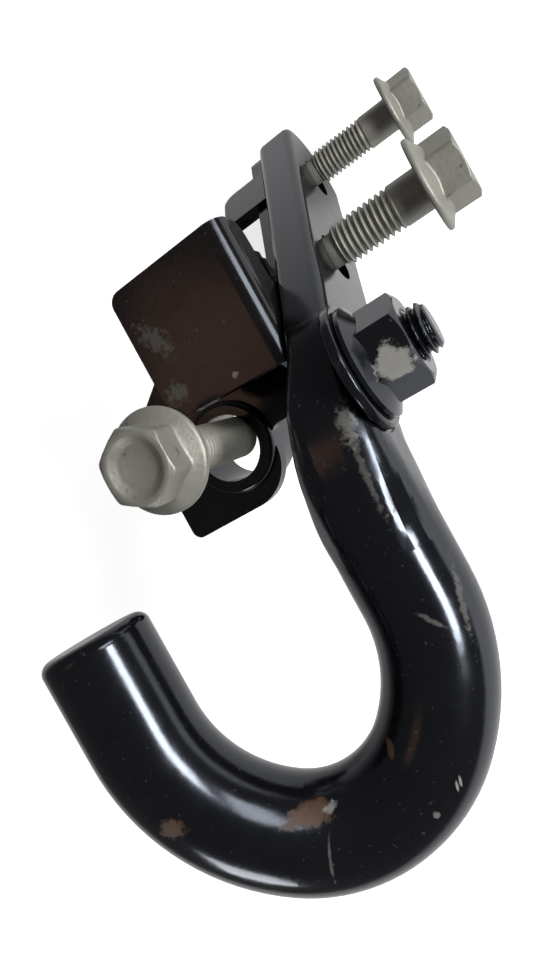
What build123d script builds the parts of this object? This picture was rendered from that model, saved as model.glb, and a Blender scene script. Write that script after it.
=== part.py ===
from build123d import *
import math
import os

os.makedirs("parts", exist_ok=True)

# Tow hook bracket: a forged hook clamped to a pressed and welded bracket, with its fixing bolts.
# Millimetres. While it is drawn, x = 0 is the clamp plane between hook and bracket, Y runs along the
# straight shank and Z is square to the bracket's walls. Each piece is moved at the end so that the
# origin lies on the lower end of the sleeve, at the centre of its hole.

# Hook
bar_d = 27.4            # round bar
shank_x = -0.4          # shank axis from the clamp plane
shank_z = 0.6
shank_end_y = -48.9     # where the bend of the hook starts
hook_turn = 23.8        # the hook's plane is turned about the shank
arc_radii = (45.7, 30.1, 45.1)
arc_angles = (43.5, 79.6, 56.2)
tip_length = 25.5
tip_round = 3.0

# Flat end of the hook
flat_t = 12.6
flat_near = 12.2        # from the bolt line to the near edge
flat_far = 19.1         # from the bolt line to the far edge
flat_side = 116.0       # length of the straight sides
flat_end = 124.0        # length to the crown of the rounded end
flat_bend = 46.1        # the flat is bent back from the shank
flat_edge = 2.5
flat_corner = 6.0
neck_lead = 14.0        # length of the bend, before and after its corner
neck_shares = (0.18, 0.42, 0.73)   # how far the bar is flattened along the bend
neck_run = 15.0         # from the round bar to the start of the bend
neck_blend = 4.0
neck_round = 0.46       # corner radius of a round neck section, as a share of its thickness

# Bolts
upper_s = 102.2         # along the flat, from the clamp line
lower_s = 54.1
clamp_e = 2.8           # clamp stud's offset from the bolt line
bolt_d = 12.0
bolt_flange = 26.0
bolt_hex = 17.6
bolt_head = 11.5
bolt_pilot = 9.4
small_bolt_d = 10.0
small_flange = 22.0
small_hex = 15.0
small_head = 10.0
small_pilot = 7.8
pilot_len = 7.0
short_pilot = 0.8
head_off = 29.2         # underside of the side bolts' flanges, off the flat
thread_off = 2.0        # end of their threads, off the flat
rest_gap = 0.3
hole_drop = 2.0         # the flat's holes lie below the bolt line
stud_depth = 14.0       # of the clamp stud in the hook
stud_end = 19.6         # its length off the flat
stud_lead = 1.2
washer_clear = 0.5      # radial
seat_margin = 0.8       # of the seat cut for the washer
washer_d = 30.6
washer_t = 2.4
nut_flange = 27.4
nut_hex = 19.4
nut_h = 12.6
thread_clear = 0.06
seat_gap = 0.04         # paint between clamped faces

# Bracket
sheet = 4.0
bend_r = 5.0            # outside of a fold
front_z = -3.6          # outer face of the front wall
front_left = -37.0
front_top = 52.0
front_low = 13.4
front_corner = 3.5
wall_cut_x = 5.0        # slanted lower corner of the front wall
wall_cut_y = 7.0
wall_slope = 1.6
wall_round = 4.0
lip_z = -16.0           # lower edge of the strip under the fold
lip_round = 5.0
notch_y = 33.0
notch_drop = 1.5
notch_round = 3.0
tongue_far = -12.0      # far edge of the tongue, from the bolt line
tongue_near_low = 7.4   # its near edge, at the lower bolt and at its end
tongue_near_top = 10.6
tongue_end = 119.0
tongue_lead = 6.0       # its near edge starts before the lower bolt
tongue_round = 10.0
tongue_corner = 8.0
foot_s = 40.0           # along the flat, where its far edge ends
foot_round = 6.0
foot_step = 3.0         # inner corner of the web, from the seat plate
foot_rise = 14.0
tongue_hole_d = 13.0
tab_from = 85.0         # small tab folded from the tongue
tab_to = 102.5
tab_reach = 15.5
tab_corner = 4.0

bead = 3.5              # weld beads that hold the tongue to the flat
bead_length = 16.0
bead_sink = 0.5
bead_starts = (66.0, 88.0)

# Seat plate and its sleeve
seat_top = -30.0
seat_left = -64.5
seat_low = -14.6
seat_right = -26.0
seat_join = 4.0
seat_high = 48.0
seat_round = 14.0
seat_slant_x = -30.0    # slanted edge of the plate
seat_slant_y = 24.0
seat_corner = 10.0
seat_left_round = 3.0
seat_join_round = 4.0
seat_x = -38.6          # centre of the sleeve
seat_y = 4.6
sleeve_wall = 4.0
sleeve_drop = 12.0
sleeve_rise = 2.6
weld_leg = 3.5
weld_end = 3.0          # the weld stops short of the plate's ends

# Front bolt
front_bolt_x = -35.6
front_bolt_y = 6.4
front_bolt_z = 14.2     # underside of its flange
front_bolt_end = -33.0

beta = math.radians(flat_bend)
seat_low_z = seat_top - sheet
foot_z = seat_low_z - sleeve_drop


def flat_point(s, e):
    """Y and Z of a point s along the flat and e across it."""
    return (s * math.cos(beta) + e * math.sin(beta), -s * math.sin(beta) + e * math.cos(beta))


def round_corner(sketch, point, radius):
    fillet(sketch.vertices().sort_by_distance((*point, 0))[0], radius)


clamp_y, clamp_z = flat_point(0, clamp_e)
upper_y, upper_z = flat_point(upper_s, 0)
lower_y, lower_z = flat_point(lower_s, 0)
flat_in = seat_gap
flat_out = flat_in + flat_t
side_hole_d = bolt_pilot + 2 * (hole_drop + rest_gap)
small_hole_d = small_pilot + 2 * (hole_drop + rest_gap)
stud_hole_d = bolt_d + 2 * thread_clear
seat_shift = math.hypot(front_bolt_x - seat_x, front_bolt_y - seat_y)
seat_hole_d = bolt_d + 2 * (seat_shift + rest_gap)
home = Pos(-seat_x, -seat_y, -foot_z)


# Hook: flat end with rounded edges, a bent neck that grows round, then the bent bar
mid_e = (flat_near - flat_far) / 2
flat_w = flat_near + flat_far
corner_s = (mid_e * math.cos(beta) - shank_z) / math.sin(beta)
bend_y = flat_point(corner_s, mid_e)[0] - neck_lead
bend_r_mid = neck_lead / math.tan(beta / 2)
plate_s = corner_s + neck_lead + neck_blend
round_y = bend_y - neck_run
near_top, far_top = flat_point(flat_side, flat_near), flat_point(flat_side, -flat_far)
crown = flat_point(flat_end, mid_e)


def neck_plane(x, share):
    """Plane square to the neck's centre line, at a share of the bend."""
    turn = share * beta
    y = bend_y + bend_r_mid * math.sin(turn)
    z = shank_z - bend_r_mid * (1 - math.cos(turn))
    return Plane((x, y, z), (1, 0, 0), (0, -math.cos(turn), math.sin(turn)))


def flat_plane(s):
    y, z = flat_point(s, mid_e)
    return Plane(((flat_in + flat_out) / 2, y, z), (1, 0, 0), (0, -math.cos(beta), math.sin(beta)))


with BuildPart() as hook:
    with BuildSketch(Plane.YZ.offset(flat_in)) as flat_outline:
        with BuildLine():
            start_near, start_far = flat_point(plate_s, flat_near), flat_point(plate_s, -flat_far)
            Line(start_near, near_top)
            ThreePointArc(near_top, crown, far_top)
            Polyline(far_top, start_far, start_near)
        make_face()
        round_corner(flat_outline.sketch_local, near_top, flat_corner)
        round_corner(flat_outline.sketch_local, far_top, flat_corner)
    extrude(amount=flat_t)
    start_mid = Vector(0, *flat_point(plate_s, mid_e))
    along_flat = Vector(0, math.cos(beta), -math.sin(beta))
    rim = [ed for ed in hook.edges().filter_by(lambda ed: ed.bounding_box().size.X < 1e-4)
           if (ed.center() - start_mid).dot(along_flat) > 0.01]
    fillet(rim, flat_edge)
    for s in (plate_s, plate_s - neck_blend):
        with BuildSketch(flat_plane(s)):
            RectangleRounded(flat_t, flat_w, flat_edge)
    for share, flatter in reversed(list(zip((0, 1 / 3, 2 / 3), neck_shares))):
        x_low = (1 - flatter) * (shank_x - bar_d / 2) + flatter * flat_in
        x_high = (1 - flatter) * (shank_x + bar_d / 2) + flatter * flat_out
        thick = x_high - x_low
        wide = (1 - flatter) * bar_d + flatter * flat_w
        corner = (1 - flatter) * thick * neck_round + flatter * flat_edge
        with BuildSketch(neck_plane((x_low + x_high) / 2, share)):
            RectangleRounded(thick, wide, corner)
    for y in (round_y, round_y - neck_blend):
        with BuildSketch(Plane((shank_x, y, shank_z), (1, 0, 0), (0, -1, 0))):
            with BuildLine():
                stops = (10, 80, 100, 170, 190, 260, 280, 350, 370)
                for a, b in zip(stops, stops[1:]):
                    CenterArc((0, 0), bar_d / 2, a, b - a)
            make_face()
    loft()
    swing = math.radians(hook_turn)
    hook_plane = Plane((shank_x, 0, shank_z), (math.cos(swing), 0, -math.sin(swing)),
                       (math.sin(swing), 0, math.cos(swing)))
    with BuildLine(hook_plane) as spine:
        run = Line((0, round_y - neck_blend), (0, shank_end_y))
        for r, a in zip(arc_radii, arc_angles):
            run = JernArc(run @ 1, run % 1, r, -a)
        Line(run @ 1, run @ 1 + (run % 1) * tip_length)
    with BuildSketch(Plane((shank_x, round_y - neck_blend, shank_z), (1, 0, 0), (0, -1, 0))):
        Circle(bar_d / 2)
    sweep(path=spine.wires()[0])
    tip_face = hook.faces().sort_by_distance(spine.wires()[0] @ 1)[0]
    fillet(tip_face.edges(), tip_round)
    with BuildSketch(Plane.YZ.offset(flat_in)):
        with Locations(flat_point(upper_s, -hole_drop)):
            Circle(small_hole_d / 2)
        with Locations(flat_point(lower_s, -hole_drop)):
            Circle(side_hole_d / 2)
    extrude(amount=flat_t, mode=Mode.SUBTRACT)
    with BuildSketch(Plane.YZ.offset(flat_out)):
        with Locations((clamp_y, clamp_z)):
            Circle(washer_d / 2 + seat_margin)
    extrude(amount=bar_d, mode=Mode.SUBTRACT)
    with BuildSketch(Plane.YZ.offset(flat_out)):
        with Locations((clamp_y, clamp_z)):
            Circle(stud_hole_d / 2)
    extrude(amount=-stud_depth - rest_gap, mode=Mode.SUBTRACT)

# Bracket: web with its tongue, folded front wall and tab, and a seat plate welded to the web
tip_near, tip_far = flat_point(tongue_end, tongue_near_top), flat_point(tongue_end, tongue_far)
low_near = flat_point(lower_s - tongue_lead, tongue_near_low)
notch = (notch_y, lip_z - notch_drop)
lip_end = (front_top, lip_z)
fold_top, fold_low = (front_top, front_z), (front_low, front_z)
foot_far, foot_low = flat_point(foot_s, tongue_far), (seat_join, seat_low_z)
foot_in = (seat_join + foot_step, seat_top + foot_rise)
wall_cut_top = (front_left, front_low + wall_cut_y)
wall_cut_low = (front_left + wall_cut_x, front_low + wall_slope)
fold_mid = (front_low + front_top) / 2
sleeve_top = seat_top + sleeve_rise

with BuildPart() as bracket:
    with BuildSketch(Plane.YZ.offset(-sheet)) as web:
        with BuildLine():
            Polyline(fold_low, fold_top, lip_end, notch, low_near, tip_near, tip_far,
                     foot_far, foot_low, foot_in, fold_low)
        make_face()
        round_corner(web.sketch_local, lip_end, lip_round)
        round_corner(web.sketch_local, notch, notch_round)
        round_corner(web.sketch_local, low_near, tongue_round)
        round_corner(web.sketch_local, tip_near, tongue_corner)
        round_corner(web.sketch_local, tip_far, tongue_corner)
        round_corner(web.sketch_local, foot_far, foot_round)
    extrude(amount=sheet)
    with BuildSketch(Plane.XY.offset(front_z - sheet)) as wall:
        with BuildLine():
            Polyline((0, front_low), (0, front_top), (front_left, front_top), wall_cut_top, wall_cut_low,
                     (0, front_low))
        make_face()
        round_corner(wall.sketch_local, (front_left, front_top), front_corner)
        round_corner(wall.sketch_local, wall_cut_top, wall_round)
        round_corner(wall.sketch_local, wall_cut_low, wall_round)
    extrude(amount=sheet)
    outer = bracket.edges().filter_by(Axis.Y).sort_by_distance((0, fold_mid, front_z))[0]
    fillet(outer, bend_r)
    inner = bracket.edges().filter_by(Axis.Y).sort_by_distance((-sheet, fold_mid, front_z - sheet))[0]
    fillet(inner, bend_r - sheet)
    tab_plane = Plane((0, *flat_point(0, tongue_near_top)), (0, math.cos(beta), -math.sin(beta)),
                      (0, math.sin(beta), math.cos(beta)))
    with BuildSketch(tab_plane) as tab:
        with Locations(((tab_from + tab_to) / 2, tab_reach / 2)):
            RectangleRounded(tab_to - tab_from, tab_reach, tab_corner)
        with Locations(((tab_from + tab_to) / 2, sheet)):
            Rectangle(tab_to - tab_from, 2 * sheet)
    extrude(amount=-sheet)
    with BuildSketch(Plane.XY.offset(seat_low_z)) as seat:
        with BuildLine():
            Polyline((-sheet, seat_high), (seat_slant_x, seat_high), (seat_left, seat_slant_y),
                     (seat_left, seat_low), (seat_right, seat_low), (seat_right, seat_join),
                     (-sheet, seat_join), (-sheet, seat_high))
        make_face()
        round_corner(seat.sketch_local, (seat_slant_x, seat_high), seat_corner)
        round_corner(seat.sketch_local, (seat_left, seat_slant_y), seat_corner)
        round_corner(seat.sketch_local, (seat_left, seat_low), seat_left_round)
        round_corner(seat.sketch_local, (seat_right, seat_low), seat_round)
        round_corner(seat.sketch_local, (seat_right, seat_join), seat_join_round)
    extrude(amount=sheet)
    with BuildSketch(Plane.XY.offset(foot_z)):
        with Locations((seat_x, seat_y)):
            Circle(seat_hole_d / 2 + sleeve_wall)
    extrude(amount=sleeve_top - foot_z)
    rims = bracket.edges().filter_by(GeomType.CIRCLE)
    fillet(rims.sort_by_distance((seat_x, seat_y, sleeve_top))[0], sleeve_rise * 0.6)
    with BuildSketch(Plane.XZ.offset(-(seat_join + seat_high) / 2)):
        with Locations((-sheet, seat_top)):
            Triangle(a=weld_leg, b=weld_leg, C=90, align=None, rotation=90)
    extrude(amount=(seat_high - seat_join) / 2 - weld_end, both=True)
    with BuildSketch(Plane.XY.offset(foot_z)):
        with Locations((seat_x, seat_y)):
            Circle(seat_hole_d / 2)
    extrude(amount=sleeve_top - foot_z, mode=Mode.SUBTRACT)
    for s in bead_starts:
        y, z = flat_point(s, 0)
        with BuildSketch(Plane((0, y, z), (1, 0, 0), (0, math.cos(beta), -math.sin(beta)))):
            with BuildLine():
                foot = -tongue_far - bead_sink
                Polyline((-bead, foot), (0, foot), (0, -tongue_far + bead), (-bead, foot))
            make_face()
        extrude(amount=bead_length)
    with BuildSketch(Plane.YZ.offset(-sheet)):
        with Locations(flat_point(upper_s, -hole_drop), flat_point(lower_s, -hole_drop)):
            Circle(tongue_hole_d / 2)
    extrude(amount=sheet, mode=Mode.SUBTRACT)


def flange_bolt(d, length, flange_d, across, head_h, pilot_d, pilot, dish=1.4):
    """Flange bolt along Z: flange underside at z = 0, head above, shank and pilot point below."""
    ac = across / math.cos(math.pi / 6)
    cone = flange_d * 0.16
    with BuildPart() as bolt:
        with BuildSketch(Plane.XZ):
            with BuildLine():
                Polyline((0, 0), (flange_d / 2 - 0.4, 0), (flange_d / 2, 0.5), (flange_d / 2, 1.4),
                         (across / 2 - 0.6, cone), (0, cone), (0, 0))
            make_face()
        revolve(axis=Axis.Z)
        with BuildSketch(Plane.XY):
            RegularPolygon(across / 2, 6, major_radius=False)
        extrude(amount=head_h)
        with BuildSketch(Plane.XZ):
            with BuildLine():
                Polyline((across / 2 - 0.3, head_h), (ac / 2 + 1, head_h - (ac - across) / 2 * 0.6 - 0.75),
                         (ac / 2 + 1, head_h + 1), (across / 2 - 0.3, head_h + 1), (across / 2 - 0.3, head_h))
            make_face()
        revolve(axis=Axis.Z, mode=Mode.SUBTRACT)
        if dish:
            with BuildSketch(Plane.XZ):
                with BuildLine():
                    Polyline((0, head_h + 1), (0, head_h - dish), (across * 0.3, head_h - dish),
                             (across * 0.41, head_h), (across * 0.41, head_h + 1), (0, head_h + 1))
                make_face()
            revolve(axis=Axis.Z, mode=Mode.SUBTRACT)
        with BuildSketch(Plane.XZ):
            with BuildLine():
                lead = (d - pilot_d) / 2
                Polyline((0, 0), (d / 2, 0), (d / 2, -length + lead), (pilot_d / 2, -length),
                         (pilot_d / 2, -length - pilot), (0, -length - pilot), (0, 0))
            make_face()
        revolve(axis=Axis.Z)
    return bolt.part


side_length = head_off - thread_off
front_length = front_bolt_z - front_bolt_end - short_pilot
upper_bolt = flange_bolt(small_bolt_d, side_length, small_flange, small_hex, small_head,
                         small_pilot, pilot_len)
lower_bolt = flange_bolt(bolt_d, side_length, bolt_flange, bolt_hex, bolt_head, bolt_pilot, pilot_len)
front_bolt = flange_bolt(bolt_d, front_length, bolt_flange, bolt_hex, bolt_head, bolt_pilot, short_pilot)

with BuildPart() as stud:
    with BuildSketch(Plane.XZ):
        with BuildLine():
            stud_r, lead_r = bolt_d / 2, bolt_d / 2 - stud_lead
            Polyline((0, -stud_depth), (lead_r, -stud_depth), (stud_r, -stud_depth + stud_lead),
                     (stud_r, stud_end - stud_lead), (lead_r, stud_end), (0, stud_end), (0, -stud_depth))
        make_face()
    revolve(axis=Axis.Z)

with BuildPart() as washer:
    with BuildSketch(Plane.XY):
        Circle(washer_d / 2)
        Circle(bolt_d / 2 + washer_clear, mode=Mode.SUBTRACT)
    extrude(amount=washer_t)
    fillet(washer.edges().filter_by(GeomType.CIRCLE).sort_by(SortBy.RADIUS)[-2:], 0.7)

with BuildPart() as nut:
    nut_ac = nut_hex / math.cos(math.pi / 6)
    with BuildSketch(Plane.XZ):
        with BuildLine():
            Polyline((0, 0), (nut_flange / 2 - 0.4, 0), (nut_flange / 2, 0.5), (nut_flange / 2, 1.5),
                     (nut_hex / 2 - 0.3, 4.0), (0, 4.0), (0, 0))
        make_face()
    revolve(axis=Axis.Z)
    with BuildSketch(Plane.XY):
        RegularPolygon(nut_hex / 2, 6, major_radius=False)
    extrude(amount=nut_h)
    with BuildSketch(Plane.XZ):
        with BuildLine():
            Polyline((nut_hex / 2 - 0.3, nut_h), (nut_ac / 2 + 1, nut_h - 1.9), (nut_ac / 2 + 1, nut_h + 1),
                     (nut_hex / 2 - 0.3, nut_h + 1), (nut_hex / 2 - 0.3, nut_h))
        make_face()
    revolve(axis=Axis.Z, mode=Mode.SUBTRACT)
    with BuildSketch(Plane.XY):
        Circle(bolt_d / 2 + thread_clear)
    extrude(amount=nut_h, mode=Mode.SUBTRACT)
    chamfer(nut.edges().filter_by(GeomType.CIRCLE).sort_by_distance((0, 0, nut_h))[0], 0.7)


def along(origin, axis):
    """Place for a piece whose own Z points along axis."""
    return Location(Plane(origin, (0, 1, 0), axis))


head_x = flat_out + head_off
washer_x = flat_out + seat_gap
nut_x = washer_x + washer_t + seat_gap
pieces = {
    "tow_hook": hook.part,
    "mounting_bracket": bracket.part,
    "upper_side_bolt": upper_bolt.moved(along((head_x, upper_y, upper_z), (1, 0, 0))),
    "lower_side_bolt": lower_bolt.moved(along((head_x, lower_y, lower_z), (1, 0, 0))),
    "front_bolt": front_bolt.moved(along((front_bolt_x, front_bolt_y, front_bolt_z), (0, 0, 1))),
    "clamp_stud": stud.part.moved(along((flat_out, clamp_y, clamp_z), (1, 0, 0))),
    "clamp_washer": washer.part.moved(along((washer_x, clamp_y, clamp_z), (1, 0, 0))),
    "clamp_nut": nut.part.moved(along((nut_x, clamp_y, clamp_z), (1, 0, 0))),
}
for name, piece in pieces.items():
    piece = piece.moved(home)
    piece.label = name
    export_step(piece, f"parts/{name}.step")
    box = piece.bounding_box()
    print(name, "solids", len(piece.solids()), "volume", round(piece.volume), "box",
          [round(v, 1) for v in (*box.min, *box.max)])
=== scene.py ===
# %% [markdown]
# # Tow hook bracket
# A forged hook of round bar is clamped to a sheet bracket, and silver flange bolts wait in their
# holes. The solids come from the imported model. This lesson gives them their paint, scars and rust,
# makes the bolts again with real threads, and sets up floor, light and camera.

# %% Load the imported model
import math
import bpy
import numpy as np
from mathutils import Matrix, Vector


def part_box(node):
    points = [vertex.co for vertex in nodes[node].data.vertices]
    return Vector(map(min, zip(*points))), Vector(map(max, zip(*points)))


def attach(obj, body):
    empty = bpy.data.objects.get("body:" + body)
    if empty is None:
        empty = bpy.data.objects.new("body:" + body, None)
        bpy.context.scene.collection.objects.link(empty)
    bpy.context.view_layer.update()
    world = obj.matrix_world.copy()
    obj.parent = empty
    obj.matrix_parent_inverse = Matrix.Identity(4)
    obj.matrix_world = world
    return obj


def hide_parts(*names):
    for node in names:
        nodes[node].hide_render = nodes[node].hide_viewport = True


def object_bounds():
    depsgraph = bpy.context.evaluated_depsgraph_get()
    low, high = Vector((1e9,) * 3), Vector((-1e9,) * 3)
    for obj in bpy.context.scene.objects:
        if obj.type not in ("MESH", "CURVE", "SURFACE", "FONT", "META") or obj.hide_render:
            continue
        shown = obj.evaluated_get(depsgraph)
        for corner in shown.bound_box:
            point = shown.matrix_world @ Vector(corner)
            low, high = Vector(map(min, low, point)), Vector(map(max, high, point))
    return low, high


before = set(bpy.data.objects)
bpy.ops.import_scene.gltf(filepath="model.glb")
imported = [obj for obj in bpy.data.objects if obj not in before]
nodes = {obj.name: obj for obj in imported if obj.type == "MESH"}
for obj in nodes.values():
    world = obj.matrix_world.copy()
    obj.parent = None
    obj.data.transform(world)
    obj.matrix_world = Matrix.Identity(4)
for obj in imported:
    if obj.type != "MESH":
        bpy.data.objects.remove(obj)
cad_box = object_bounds()
print("nodes", sorted(nodes), "box", [tuple(round(v, 4) for v in c) for c in cad_box])

# %% [markdown]
# ## Surfaces from a grid
# A turned piece is a grid of points: one row for each step along its profile and one column for each
# angle round its axis. Blender's Screw modifier could turn a profile too, but it can't make a hexagon
# or a thread, where the radius changes with the angle. Whole numpy arrays can.

# %% Grid to mesh
def grid_mesh(name, points):
    """Mesh from points[row, column, xyz]: columns close on themselves, and a fan caps each end row."""
    rows, cols, _ = points.shape
    caps = points[[0, -1]].mean(1)
    verts = np.concatenate([points.reshape(-1, 3), caps])
    i, j = np.meshgrid(np.arange(rows - 1), np.arange(cols), indexing="ij")
    k = (j + 1) % cols
    quads = np.stack([i * cols + j, (i + 1) * cols + j, (i + 1) * cols + k, i * cols + k], -1)
    c, n = np.arange(cols), (np.arange(cols) + 1) % cols
    top = np.stack([np.full(cols, rows * cols), c, n], -1)
    last = (rows - 1) * cols
    end = np.stack([np.full(cols, rows * cols + 1), last + n, last + c], -1)
    mesh = bpy.data.meshes.new(name)
    mesh.from_pydata(verts, [], quads.reshape(-1, 4).tolist() + top.tolist() + end.tolist())
    mesh.polygons.foreach_set("use_smooth", np.ones(len(mesh.polygons), bool))
    mesh.update()
    return mesh


def add_piece(name, mesh, finish, stands_for):
    """Object at the origin that rides on the root and replaces its plain solid."""
    obj = bpy.data.objects.new(name, mesh)
    bpy.context.scene.collection.objects.link(obj)
    obj.data.materials.append(finish)
    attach(obj, "root")
    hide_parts(stands_for)
    print(name, "faces", len(mesh.polygons))
    return obj

# %% [markdown]
# ## Effects that several finishes share
# Paint and plating differ in colour but age alike: small uneven spots where something rubbed, chipped
# or rusted, and a fine ripple. Each effect is a node group, built once. A spot is the distance from a
# centre, stretched along the piece and torn by noise, cut to a mask.

# %% Node helpers
def add_node(tree, kind, values=None, **props):
    """One node: props first, then each input gets a link or a constant."""
    node = tree.nodes.new(kind)
    for key, value in props.items():
        setattr(node, key, value)
    for key, value in (values or {}).items():
        if isinstance(value, bpy.types.NodeSocket):
            tree.links.new(value, node.inputs[key])
        else:
            node.inputs[key].default_value = value
    return node


def add_math(tree, operation, *values):
    """Output of one Math node, with the values on its inputs in order."""
    return add_node(tree, "ShaderNodeMath", dict(enumerate(values)), operation=operation).outputs[0]


def new_group(name, inputs, outputs):
    """Empty node group with its sockets, and its input and output nodes."""
    tree = bpy.data.node_groups.new(name, "ShaderNodeTree")
    for label, kind, value in inputs:
        socket = tree.interface.new_socket(label, in_out="INPUT", socket_type=kind)
        socket.default_value = value
    for label, kind in outputs:
        tree.interface.new_socket(label, in_out="OUTPUT", socket_type=kind)
    return tree, tree.nodes.new("NodeGroupInput"), tree.nodes.new("NodeGroupOutput")

# %% Spot: a torn patch round a centre
spot_tree, g_in, g_out = new_group(
    "spot",
    [("Centre", "NodeSocketVector", (0, 0, 0)),
     ("Reach", "NodeSocketVector", (0.01, 0.01, 0.01)),
     ("Turn", "NodeSocketVector", (0, 0, 0)),
     ("Tear", "NodeSocketFloat", 0.6),
     ("Grain", "NodeSocketFloat", 300.0),
     ("Edge", "NodeSocketFloat", 0.12)],
    [("Mask", "NodeSocketFloat")])
where = add_node(spot_tree, "ShaderNodeTexCoord").outputs["Object"]
shift = add_node(spot_tree, "ShaderNodeVectorMath", {0: where, 1: g_in.outputs["Centre"]},
                 operation="SUBTRACT")
turned = add_node(spot_tree, "ShaderNodeVectorRotate",
                  {"Vector": shift.outputs[0], "Rotation": g_in.outputs["Turn"]},
                  rotation_type="EULER_XYZ")
scaled = add_node(spot_tree, "ShaderNodeVectorMath", {0: turned.outputs[0], 1: g_in.outputs["Reach"]},
                  operation="DIVIDE")
length = add_node(spot_tree, "ShaderNodeVectorMath", {0: scaled.outputs[0]}, operation="LENGTH")
ragged = add_node(spot_tree, "ShaderNodeTexNoise",
                  {"Vector": where, "Scale": g_in.outputs["Grain"], "Detail": 6.0, "Roughness": 0.65})
centred = add_math(spot_tree, "SUBTRACT", ragged.outputs[0], 0.5)
torn = add_math(spot_tree, "MULTIPLY", centred, g_in.outputs["Tear"])
torn = add_math(spot_tree, "MULTIPLY_ADD", torn, 4.0, length.outputs["Value"])
low = add_math(spot_tree, "SUBTRACT", 1.0, g_in.outputs["Edge"])
high = add_math(spot_tree, "ADD", 1.0, g_in.outputs["Edge"])
cut = add_node(spot_tree, "ShaderNodeMapRange",
               {"Value": torn, "From Min": low, "From Max": high, "To Min": 1.0, "To Max": 0.0},
               interpolation_type="SMOOTHSTEP")
spot_tree.links.new(cut.outputs[0], g_out.inputs["Mask"])
print("spot group nodes", len(spot_tree.nodes))

# %% Ripple: the fine unevenness of sprayed paint and plating
ripple_tree, g_in, g_out = new_group(
    "ripple",
    [("Scale", "NodeSocketFloat", 500.0), ("Low", "NodeSocketFloat", 0.2), ("High", "NodeSocketFloat", 0.4)],
    [("Height", "NodeSocketFloat"), ("Roughness", "NodeSocketFloat"), ("Cloud", "NodeSocketFloat")])
where = add_node(ripple_tree, "ShaderNodeTexCoord").outputs["Object"]
fine = add_node(ripple_tree, "ShaderNodeTexNoise",
                {"Vector": where, "Scale": g_in.outputs["Scale"], "Detail": 3.0})
broad = add_node(ripple_tree, "ShaderNodeTexNoise",
                 {"Vector": where, "Scale": 60.0, "Detail": 8.0, "Roughness": 0.7})
rough = add_node(ripple_tree, "ShaderNodeMapRange",
                 {"Value": broad.outputs[0], "From Min": 0.3, "From Max": 0.7,
                  "To Min": g_in.outputs["Low"], "To Max": g_in.outputs["High"]})
ripple_tree.links.new(fine.outputs[0], g_out.inputs["Height"])
ripple_tree.links.new(rough.outputs[0], g_out.inputs["Roughness"])
ripple_tree.links.new(broad.outputs[0], g_out.inputs["Cloud"])
print("ripple group nodes", len(ripple_tree.nodes))

# %% [markdown]
# ## Finishes
# The hook and bracket wear gloss black paint that is scuffed pale where the bar rubbed, chipped to
# grey metal and rusted through in a few places. Marks are laid on one after another: each spot mixes
# its colour over what is below and makes the surface rougher there.

# %% Steps that paint and plating share
def start_finish(name, ripple, low, high, dark, pale):
    """Material with the ripple group, and a colour that its cloud moves from dark to pale."""
    material = bpy.data.materials.new(name)
    material.use_nodes = True
    tree = material.node_tree
    skin = add_node(tree, "ShaderNodeGroup", {"Scale": ripple, "Low": low, "High": high}, node_tree=ripple_tree)
    tint = add_node(tree, "ShaderNodeMix", {0: skin.outputs["Cloud"], 6: (*dark, 1), 7: (*pale, 1)},
                    data_type="RGBA")
    return material, tree, skin, tint.outputs[2]


def lay_over(tree, below, shade, mask):
    """Colour that is shade where the mask is 1, and what is below elsewhere."""
    return add_node(tree, "ShaderNodeMix", {0: mask, 6: below, 7: (*shade, 1)}, data_type="RGBA").outputs[2]


def speckle(tree, scale, detail, roughness, edge, strength):
    """Mask of small dots, where fine noise rises past an edge."""
    where = add_node(tree, "ShaderNodeTexCoord").outputs["Object"]
    dots = add_node(tree, "ShaderNodeTexNoise",
                    {"Vector": where, "Scale": scale, "Detail": detail, "Roughness": roughness})
    sharp = add_node(tree, "ShaderNodeMapRange",
                     {"Value": dots.outputs[0], "From Min": edge[0], "From Max": edge[1],
                      "To Min": 0.0, "To Max": strength})
    return sharp.outputs[0]


def end_finish(tree, colour, rough, height, bump):
    """Colour, roughness and bump go to the shader, which is handed back for its constants."""
    shader = tree.nodes["Principled BSDF"]
    dent = add_node(tree, "ShaderNodeBump", {"Height": height, "Strength": bump, "Distance": 0.001})
    tree.links.new(colour, shader.inputs["Base Color"])
    tree.links.new(rough, shader.inputs["Roughness"])
    tree.links.new(dent.outputs[0], shader.inputs["Normal"])
    return shader

# %% A painted finish with marks
paint_ripple, paint_bump = 420.0, 0.02
speck_grey = (0.22, 0.21, 0.19)
cool_sheen = (0.78, 0.86, 1.0, 1)


def painted(name, base, low, high, marks, specks):
    """Base colour with roughness from low to high, then each mark in turn:
    (colour, roughness, centre, reach, turn, tear, grain, edge, strength)."""
    pale = [c * 1.35 + 0.001 for c in base]
    material, tree, skin, colour = start_finish(name, paint_ripple, low, high, base, pale)
    rough = skin.outputs["Roughness"]
    for shade, dull, centre, reach, turn, tear, grain, edge, strength in marks:
        form = {"Centre": centre, "Reach": reach, "Turn": turn, "Tear": tear, "Grain": grain, "Edge": edge}
        spot = add_node(tree, "ShaderNodeGroup", form, node_tree=spot_tree)
        mask = add_math(tree, "MULTIPLY", spot.outputs["Mask"], strength)
        colour = lay_over(tree, colour, shade, mask)
        rough = add_node(tree, "ShaderNodeMix", {0: mask, 2: rough, 3: dull}).outputs[0]
    dots = speckle(tree, 900.0, 2.0, 0.5, (0.69, 0.74), specks)
    colour = lay_over(tree, colour, speck_grey, dots)
    shader = end_finish(tree, colour, rough, skin.outputs["Height"], paint_bump)
    shader.inputs["Specular Tint"].default_value = cool_sheen
    print(name, "marks", len(marks), "nodes", len(tree.nodes))
    return material

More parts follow.
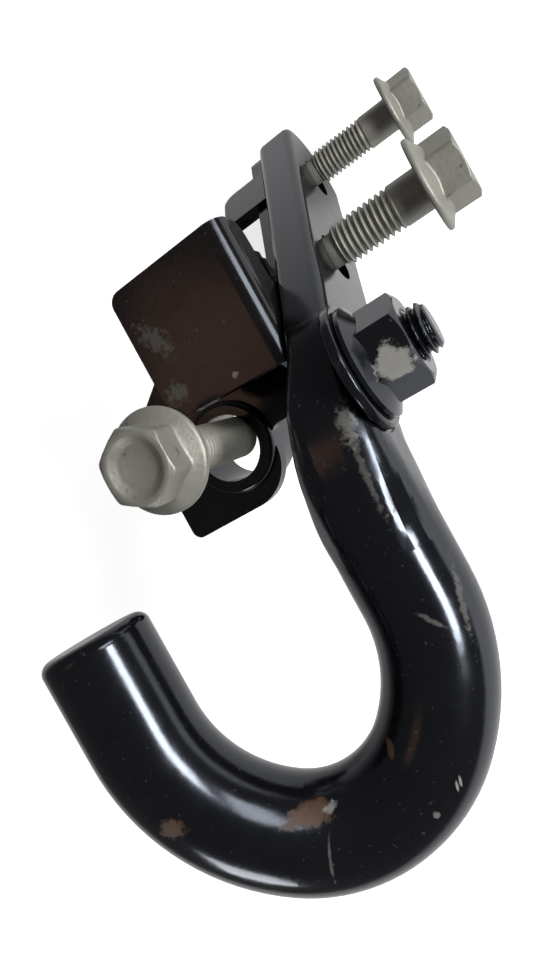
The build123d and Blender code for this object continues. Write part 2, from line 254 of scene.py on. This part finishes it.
# %% Marks on the hook, in metres, where the photograph shows them
rust, bare, scuff = (0.085, 0.042, 0.016), (0.26, 0.255, 0.235), (0.17, 0.165, 0.145)
hook_marks = [
    (rust, 0.7, (0.0015, -0.0831, 0.0744), (0.0050, 0.0020, 0.005), (0, 0, 0.3), 0.6, 420, 0.35, 0.75),
    (bare, 0.6, (0.0057, -0.0839, 0.0732), (0.0013, 0.0009, 0.003), (0, 0, 0), 0.6, 700, 0.3, 0.6),
    (rust, 0.7, (-0.0225, -0.0708, 0.0875), (0.0028, 0.0022, 0.004), (0, 0, 0), 0.8, 420, 0.4, 0.6),
    (rust, 0.7, (0.0210, -0.0795, 0.0634), (0.0009, 0.0016, 0.003), (0, 0, 0), 0.6, 500, 0.3, 0.7),
    (bare, 0.55, (0.0309, -0.0918, 0.0635), (0.00025, 0.0013, 0.003), (0, 0, 0.3), 0.1, 600, 0.3, 0.7),
    (bare, 0.55, (0.0319, -0.0912, 0.0632), (0.00025, 0.0013, 0.003), (0, 0, 0.3), 0.1, 600, 0.3, 0.7),
    (bare, 0.55, (0.0248, -0.0950, 0.0669), (0.0006, 0.0008, 0.003), (0, 0, 0), 0.5, 600, 0.3, 0.4),
    (scuff, 0.6, (0.0025, -0.0923, 0.0773), (0.0003, 0.0045, 0.005), (0, 0, 0.35), 0.5, 500, 0.4, 0.35),
    (scuff, 0.6, (0.0468, -0.0125, 0.0608), (0.0018, 0.0042, 0.004), (0, 0, 0.15), 1.0, 600, 0.5, 0.5),
    (scuff, 0.6, (0.0454, -0.0229, 0.0608), (0.0006, 0.0100, 0.004), (0, 0, 0.1), 1.1, 650, 0.6, 0.3),
    (scuff, 0.6, (0.0489, -0.0579, 0.0550), (0.0005, 0.0070, 0.004), (0, 0, 0.2), 1.0, 800, 0.6, 0.35),
    (scuff, 0.6, (0.0421, -0.0576, 0.0597), (0.0005, 0.0030, 0.003), (0, 0, -0.6), 0.7, 700, 0.4, 0.35),
]
black_paint = painted("black_paint", (0.0026, 0.0026, 0.0034), 0.11, 0.22, hook_marks, specks=0.12)

# %% Marks on the bracket
wall_marks = [
    (scuff, 0.6, (0.0080, 0.0313, 0.0424), (0.0022, 0.0048, 0.002), (0, 0, -0.5), 1.2, 700, 0.6, 0.25),
    (scuff, 0.6, (0.0062, 0.0166, 0.0424), (0.0024, 0.0022, 0.003), (0, 0, 0.4), 1.2, 700, 0.6, 0.28),
    (bare, 0.55, (0.0228, 0.0125, 0.0424), (0.0009, 0.0007, 0.002), (0, 0, 0), 0.8, 800, 0.3, 0.6),
]
bracket_paint = painted("bracket_paint", (0.0042, 0.0030, 0.0026), 0.10, 0.22, wall_marks, specks=0.12)

# %% Marks on the clamp nut, stud and washer
nut_marks = [
    (bare, 0.5, (0.0614, -0.0067, 0.0576), (0.0038, 0.0043, 0.0025), (0, 0, 0), 0.5, 420, 0.2, 0.9),
]
black_hardware = painted("black_hardware", (0.0034, 0.0034, 0.0042), 0.10, 0.20, nut_marks, specks=0.15)

# %% Zinc flake on the silver bolts
zinc_dark, zinc_pale, nick_brown = (0.185, 0.185, 0.16), (0.35, 0.34, 0.305), (0.07, 0.065, 0.055)
zinc_flake, tree, skin, colour = start_finish("zinc_flake", 700.0, 0.42, 0.6, zinc_dark, zinc_pale)
nicks = speckle(tree, 380.0, 5.0, 0.7, (0.64, 0.70), 0.75)
colour = lay_over(tree, colour, nick_brown, nicks)
shader = end_finish(tree, colour, skin.outputs["Roughness"], skin.outputs["Height"], 0.12)
shader.inputs["Metallic"].default_value = 0.5
print("zinc_flake nodes", len(tree.nodes))

# %% [markdown]
# ## Bolts with real threads
# The silver bolts have a dished hexagon head on a coned flange, a plain length under it and a rolled
# thread that ends in a pilot point. A normal map could hint at the thread, but its crests show
# against the white floor, so the thread is real: the radius follows a saw along a helix.

# %% Thread depth, for bolts and stud
depth_share, rows_per_turn = 0.61, 14


def thread_depth(pitch, z, a):
    """Depth under the crest: depth_share * pitch * saw(z / pitch + a / 2 pi), flat at crest and root."""
    phase = (z / pitch + a / (2 * math.pi)) % 1.0
    return depth_share * pitch * np.clip(np.abs(phase - 0.5) * 3 - 0.25, 0, 1)

# %% One bolt as a single surface
rim_height, cone_share = 1.4, 0.16


def bolt_surface(d, length, flange, across, head, pilot_d, pilot, dish, pitch, plain, columns=120):
    """points[row, column] in mm: z runs from the head's top down to the point. The radius at each height is
    the dish, then min(hexagon, chamfer), max(hexagon, flange cone), the rim, d/2 - thread depth, the pilot."""
    a = np.linspace(0, 2 * math.pi, columns, endpoint=False)[None, :]
    flat, corner, rim = across / 2, across / math.sqrt(3), flange / 2
    hexagon = flat / np.cos((a + math.pi / 6) % (math.pi / 3) - math.pi / 6)
    hexagon = np.minimum(hexagon, corner - 0.25)
    z1 = head - np.array([dish, dish, dish * 0.85, 0.25, 0.05, 0, 0])[:, None]
    dish_r = across * np.array([0.28, 0.32, 0.40, 0.42, 0.44])
    r1 = np.concatenate([[0.1], dish_r, [flat - 0.3]])[:, None] + 0 * a
    reach = np.linspace(flat - 0.1, corner + 0.2, 6)[:, None]
    z2 = head - (reach - flat + 0.3) * 0.55
    r2 = np.minimum(hexagon, reach)
    z3 = np.linspace(z2[-1, 0] - 0.2, rim_height + 0.1, 26)[:, None]
    slope = (rim - (flat - 0.6)) / (flange * cone_share - rim_height)
    r3 = np.maximum(hexagon, rim - (z3 - rim_height) * slope + 0 * a)
    z4 = np.array([rim_height - 0.1, 1.1, 0.5, 0.25, 0.05, 0, 0, -0.15, -0.7])[:, None]
    rim_r = rim - np.array([0.1, 0, 0, 0.1, 0.35, 0.6])
    neck_r = d / 2 + np.array([0.7, 0.25, 0])
    r4 = np.concatenate([rim_r, neck_r])[:, None] + 0 * a
    z5 = np.linspace(-plain, -length, int((length - plain) / pitch * rows_per_turn))[:, None]
    fade = np.clip((-plain - z5) / pitch, 0, 1)
    lead = np.maximum(0, z5 + length) * 0.9 + pilot_d / 2
    r5 = np.minimum(d / 2 - thread_depth(pitch, z5, a) * fade, lead)
    z6 = -length - np.array([0.0, pilot * 0.9, pilot, pilot])[:, None]
    r6 = np.array([pilot_d / 2, pilot_d / 2, pilot_d / 2 - 0.1 * pilot, 0.1])[:, None] + 0 * a
    z = np.concatenate([z1, z2, z3, z4, z5, z6]) + 0 * a
    r = np.concatenate([r1, r2, r3, r4, r5, r6])
    return np.stack([r * np.cos(a), r * np.sin(a), z], -1)


def place(points, origin, axis, turn):
    """Turn the bolt's own Z to the axis, after a turn about itself, and move it; mm to metres."""
    z = Vector(axis)
    y = Vector((0, 1, 0))
    x = y.cross(z) if abs(z.y) < 0.9 else Vector((1, 0, 0))
    m = np.array([x, z.cross(x), z]).T
    c, s = math.cos(turn), math.sin(turn)
    m = m @ np.array([[c, -s, 0], [s, c, 0], [0, 0, 1]])
    return points @ m.T / 1000 + np.array(origin)

# %% Silver bolts, each in the place of its node
m10 = {"d": 10, "flange": 22, "across": 15, "head": 10, "pilot_d": 7.8, "dish": 1.4, "pitch": 1.5}
m12 = {"d": 12, "flange": 26, "across": 17.6, "head": 11.5, "pilot_d": 9.4, "dish": 1.6, "pitch": 1.75}
side_length, side_pilot, front_pilot, side_turn = 27.2, 7, 0.8, 0.2


def add_bolt(node, axis, turn, size):
    """Threaded bolt on the middle line of its node's box, with the head's top at the box's far face."""
    low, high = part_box(node)
    seat, along = (low + high) / 2, axis.index(1)
    seat[along] = high[along] - size["head"] / 1000
    name = node + "_threaded"
    mesh = grid_mesh(name, place(bolt_surface(**size), seat, axis, turn))
    add_piece(name, mesh, zinc_flake, node)


side = {"length": side_length, "pilot": side_pilot}
add_bolt("upper_side_bolt", (1, 0, 0), side_turn, {**m10, **side, "plain": 9})
add_bolt("lower_side_bolt", (1, 0, 0), side_turn, {**m12, **side, "plain": 8})
low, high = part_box("front_bolt")
front_length = (high.z - low.z) * 1000 - m12["head"] - front_pilot
add_bolt("front_bolt", (0, 0, 1), 0.0, {**m12, "length": front_length, "pilot": front_pilot, "plain": 5})

# %% Clamp stud: the same thread with no head
def stud_surface(d, length, pitch, columns=96):
    """points[row, column] in mm: z from the outer end at 0 down to -length, r = d/2 - thread depth, with
    both ends chamfered."""
    a = np.linspace(0, 2 * math.pi, columns, endpoint=False)[None, :]
    z = np.linspace(0, -length, int(length / pitch * rows_per_turn))[:, None]
    edge = np.minimum(-z, z + length) * 0.9 + d / 2 - 1.3
    r = np.minimum(d / 2 - thread_depth(pitch, z, a), edge)
    z = np.concatenate([z[:1], z, z[-1:]]) + 0 * a
    r = np.concatenate([0 * a + 0.1, r, 0 * a + 0.1])
    return np.stack([r * np.cos(a), r * np.sin(a), z], -1)


low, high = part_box("clamp_stud")
outer_end = Vector((high.x, (low.y + high.y) / 2, (low.z + high.z) / 2))
stud = place(stud_surface(m12["d"], (high.x - low.x) * 1000, m12["pitch"]), outer_end, (1, 0, 0), 0.0)
stud_mesh = grid_mesh("clamp_stud_threaded", stud)
add_piece("clamp_stud_threaded", stud_mesh, black_hardware, "clamp_stud")

# %% Finishes on the solids that stay
finishes = {"tow_hook": black_paint, "mounting_bracket": bracket_paint,
            "clamp_nut": black_hardware, "clamp_washer": black_hardware}
for name, finish in finishes.items():
    nodes[name].data.materials.clear()
    nodes[name].data.materials.append(finish)
    print(name, "gets", finish.name)

# %% [markdown]
# ## Floor, light and camera
# The part lies on a white table in plain soft light. Gloss black shows almost only what it mirrors, so
# the white floor gives the pale bands along the bar, and large soft lamps give the broad highlights.

# %% Floor
floor_gap, floor_half, floor_glow = 0.0005, 3, 0.65
floor_z = cad_box[0].z - floor_gap
corners = [(x * floor_half, y * floor_half, floor_z) for x, y in ((-1, -1), (1, -1), (1, 1), (-1, 1))]
floor_mesh = bpy.data.meshes.new("floor")
floor_mesh.from_pydata(corners, [], [(0, 1, 2, 3)])
floor = bpy.data.objects.new("floor", floor_mesh)
bpy.context.scene.collection.objects.link(floor)
white = bpy.data.materials.new("white_table")
white.use_nodes = True
tree = white.node_tree
shader = tree.nodes["Principled BSDF"]
shader.inputs["Base Color"].default_value = (0.9, 0.9, 0.9, 1)
shader.inputs["Roughness"].default_value = 0.9
shader.inputs["Emission Color"].default_value = (1, 1, 1, 1)
rays = add_node(tree, "ShaderNodeLightPath")
glow = add_math(tree, "MULTIPLY", rays.outputs["Is Camera Ray"], floor_glow)
tree.links.new(glow, shader.inputs["Emission Strength"])
floor_mesh.materials.append(white)
print("floor at", round(floor_z, 4))

# %% World and lamps
world = bpy.data.worlds.new("studio")
bpy.context.scene.world = world
world.use_nodes = True
sky = world.node_tree.nodes["Background"]
sky.inputs["Color"].default_value = (1, 1, 1, 1)
sky.inputs["Strength"].default_value = 0.12
middle = (cad_box[0] + cad_box[1]) / 2


def soft_lamp(name, offset, size, power):
    """Rectangular lamp at an offset from the part's middle, turned to face it."""
    lamp = bpy.data.lights.new(name, "AREA")
    lamp.shape, lamp.size, lamp.size_y, lamp.energy = "RECTANGLE", size[0], size[1], power
    obj = bpy.data.objects.new(name, lamp)
    bpy.context.scene.collection.objects.link(obj)
    obj.location = middle + Vector(offset)
    obj.rotation_euler = (-Vector(offset)).to_track_quat("-Z", "Y").to_euler()
    print(name, "watts", power)
    return obj


soft_lamp("window", (0.75, -0.20, 0.50), (0.40, 0.20), 9)
soft_lamp("far_window", (0.72, 0.25, 0.52), (0.25, 0.40), 3.0)
soft_lamp("side", (-0.60, -0.95, 0.58), (0.35, 0.35), 3.6)
warm = soft_lamp("warm_room", (-0.35, 0.22, 0.85), (0.22, 0.22), 0.12)
warm.data.color = (1.0, 0.45, 0.25)

# %% Camera from the photograph: right, down and forward directions, place and focal length in pixels
right = Vector((0.7974, -0.4817, -0.3635))
down = Vector((-0.4417, -0.8763, 0.1923))
ahead = Vector((-0.4111, 0.0073, -0.9115))
eye_place = Vector((0.09040, -0.01817, 0.20552))
focal_px, picture_height, sensor_mm = 713.81, 979, 36.0
camera = bpy.data.cameras.new("camera")
camera.sensor_fit, camera.sensor_height = "VERTICAL", sensor_mm
camera.lens = focal_px / picture_height * sensor_mm
camera.clip_start = 0.01
eye = bpy.data.objects.new("camera", camera)
bpy.context.scene.collection.objects.link(eye)
turn = Matrix((right, -down, -ahead)).transposed().to_4x4()
eye.matrix_world = Matrix.Translation(eye_place) @ turn
bpy.context.scene.camera = eye
bpy.context.scene.view_settings.view_transform = "Standard"
print("camera lens", round(camera.lens, 2))
